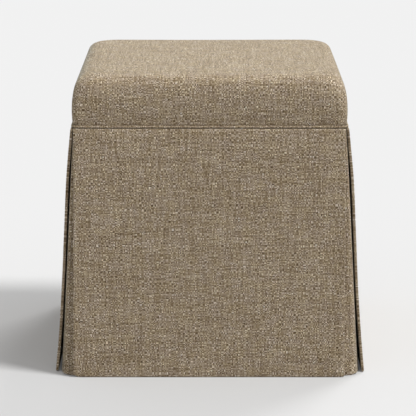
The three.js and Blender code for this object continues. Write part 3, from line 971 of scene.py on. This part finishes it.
def lid_cover():
    """The cushion's cover: the profile carried round a square whose corner radius grows from the
    foot to the top. On the sides a flat place is the distance along the side and from the middle of
    the top, and on the top it is the place itself."""
    profile = cushion_profile()
    half, height = profile[:, 0], profile[:, 1]
    length = np.concatenate([[0], np.cumsum(np.linalg.norm(np.diff(profile, axis=0), axis=1))])
    reach = (length[-1] - length)[:, None]
    up = np.clip((height - board_high[2]) / (edge_top - board_high[2]), 0, 1)
    corner = np.minimum(FOOT_CORNER + (TOP_CORNER - FOOT_CORNER) * up**2, half)
    x, y, along = square_side(half, corner, straight_steps=44, arc_steps=10)
    beside = np.clip((reach - FLAT_TOP) / FLAT_TOP_FADE, 0, 1)
    flat = np.stack([x + (along - x) * beside, -reach + 0 * x], axis=-1)
    return np.stack([x, y, height[:, None] + 0 * x], axis=-1), flat


def cover_relief(places):
    """How far the cover stands out: slightly uneven all over, and pinched in beside each corner just
    above the foot, where the cloth is folded under."""
    x, y, z = places.T
    free = np.clip((z - lid_foot) / UNEVEN_ABOVE, 0, 1)
    uneven = soft_waves(x + 0.7 * z, y - 0.4 * z, seed=60) * COVER_UNEVEN * free
    to_corner = WIDEST_HALF - np.minimum(np.abs(x), np.abs(y))
    sideways = (to_corner - PINCH["beside"]) / PINCH["width"]
    upwards = (z - lid_foot - PINCH["above"]) / PINCH["height"]
    return uneven - PINCH["depth"] * np.exp(-(sideways**2) - upwards**2)


cushion = make_piece("cloth_lid_cushion", *four_sides(*lid_cover()), linen("lid_cover", (0.8, 2.3)))
weld(cushion)
push_out(cushion, cover_relief)
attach(cushion, "lid")
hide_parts("lid_cushion")


# ------------------------------------------------------------------ lid welt
# A thin cord sewn into a bias strip of the cloth. The strip's flat allowance is stapled under the
# foot of the cushion, and the cord stands out as a narrow rounded line just above the parting.

CORD_RADIUS = 2.05 * MM
WELT_PROUD = 2.2 * MM
WELT_DROP = 1.15 * MM  # the cord's middle lies so far below the middle of the welt's plain solid
ALLOWANCE_HALF_THICKNESS = 0.7 * MM
HINGE_CLEARANCE = 0.2 * MM
LIFT_LENGTH = 22 * MM  # over which the cord rises before a hinge
TIGHTEST_CORNER = 1 * MM
LEAF_BELOW_BOARD = 0.3 * MM  # the upper leaf lies so far under the lid's board

leaf_top = board_low[2] - LEAF_BELOW_BOARD
welt_low, welt_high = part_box("lid_welt")
cord_height = (welt_high[2] + welt_low[2]) / 2 - WELT_DROP
cord_half = WIDEST_HALF + WELT_PROUD - CORD_RADIUS


def welt_strip():
    """The strip's section carried round a square: from the inner edge under the allowance, round the
    cord as an arc that leaves and meets the allowance, and back. Flat places are the distance along
    the side and round the section."""
    join = math.asin(ALLOWANCE_HALF_THICKNESS / CORD_RADIUS)
    turn = np.linspace(-math.pi + join, math.pi - join, 16)
    half = cord_half + CORD_RADIUS * np.cos(turn)
    height = cord_height + CORD_RADIUS * np.sin(turn)
    inner = board_high[0] + BOARD_GAP
    half = np.concatenate([[inner], half, [inner, inner]])
    height = np.concatenate([[height[0]], height, [height[-1], height[0]]])
    corner = np.maximum(FOOT_CORNER + half - cord_half, TIGHTEST_CORNER)
    x, y, along = square_side(half, corner, straight_steps=60, arc_steps=10)
    around = np.concatenate([[0], np.cumsum(np.hypot(np.diff(half), np.diff(height)))])[:, None]
    points = np.stack([x, y, height[:, None] + 0 * x], axis=-1)
    return points, np.stack([along, -around + 0 * x], axis=-1)


def lift_over_hinges(points):
    """Squeezes the cord upwards where it crosses a hinge at the back: heights are drawn towards its
    top until its lowest is just above the upper leaf, easing in and out on a smooth step."""
    x, y, z = points.T
    top, bottom = cord_height + CORD_RADIUS, cord_height - CORD_RADIUS
    ease = np.zeros(len(points))
    for node in ("hinge_left_lid_leaf", "hinge_right_lid_leaf"):
        low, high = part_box(node)
        outside = np.maximum(low[0] - x, x - high[0])
        ease += np.clip(1 - (outside - HINGE_CLEARANCE) / LIFT_LENGTH, 0, 1)
    at_back = y > 0.9 * cord_half
    ease = ease * ease * (3 - 2 * ease) * at_back
    kept = (top - leaf_top - HINGE_CLEARANCE) / (top - bottom)
    return np.stack([x, y, top - (top - z) * (1 - ease * (1 - kept))], axis=-1)


welt_vertices, welt_quads, welt_flat = four_sides(*welt_strip())
welt_vertices = lift_over_hinges(welt_vertices)
welt_cloth = linen("lid_welt", turn_deg=45)
welt = make_piece("cloth_lid_welt", welt_vertices, welt_quads, welt_flat, welt_cloth)
weld(welt)
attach(welt, "lid")
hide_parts("lid_welt")


# ------------------------------------------------------------------ hinges
# Two butt hinges of zinc-plated pressed steel, let in between the lid and the box's rim at the back,
# with their knuckles just behind the skirt's top edge.

STEEL_DULL = (150, 147, 141)
STEEL_BRIGHT = (186, 184, 178)


def zinc_plate():
    """Zinc-plated steel: fine lines brushed along the hinge, under a slow cloudy tarnish."""
    material = bpy.data.materials.new("zinc_plate")
    material.use_nodes = True
    n = Nodes(material.node_tree)
    shader = n.tree.nodes["Principled BSDF"]
    place = n.tree.nodes.new("ShaderNodeTexCoord").outputs["Object"]
    drawn_out = n.add("ShaderNodeVectorMath", {0: place, 1: (40, 2500, 2500)}, operation="MULTIPLY")
    brushed = n.add("ShaderNodeTexNoise", {"Vector": drawn_out, "Scale": 1.0, "Detail": 2.0})
    tarnish = n.add("ShaderNodeTexNoise", {"Vector": place, "Scale": 160.0, "Detail": 4.0})
    tone = n.math("MULTIPLY_ADD", brushed, 0.4, n.math("MULTIPLY", tarnish, 0.6))
    colour = n.mixed(tone, screen_colour(*STEEL_DULL), screen_colour(*STEEL_BRIGHT))
    n.link(colour, shader.inputs["Base Color"])
    n.link(n.math("MULTIPLY_ADD", tarnish, -0.3, 0.65), shader.inputs["Roughness"])
    relief = n.add("ShaderNodeBump", {"Strength": 0.15, "Distance": 0.05 * MM, "Height": brushed})
    n.link(relief, shader.inputs["Normal"])
    shader.inputs["Metallic"].default_value = 1.0
    return material


hinge_material = zinc_plate()
for node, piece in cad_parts.items():
    if node.startswith("hinge_"):
        piece.material_slots[0].material = hinge_material
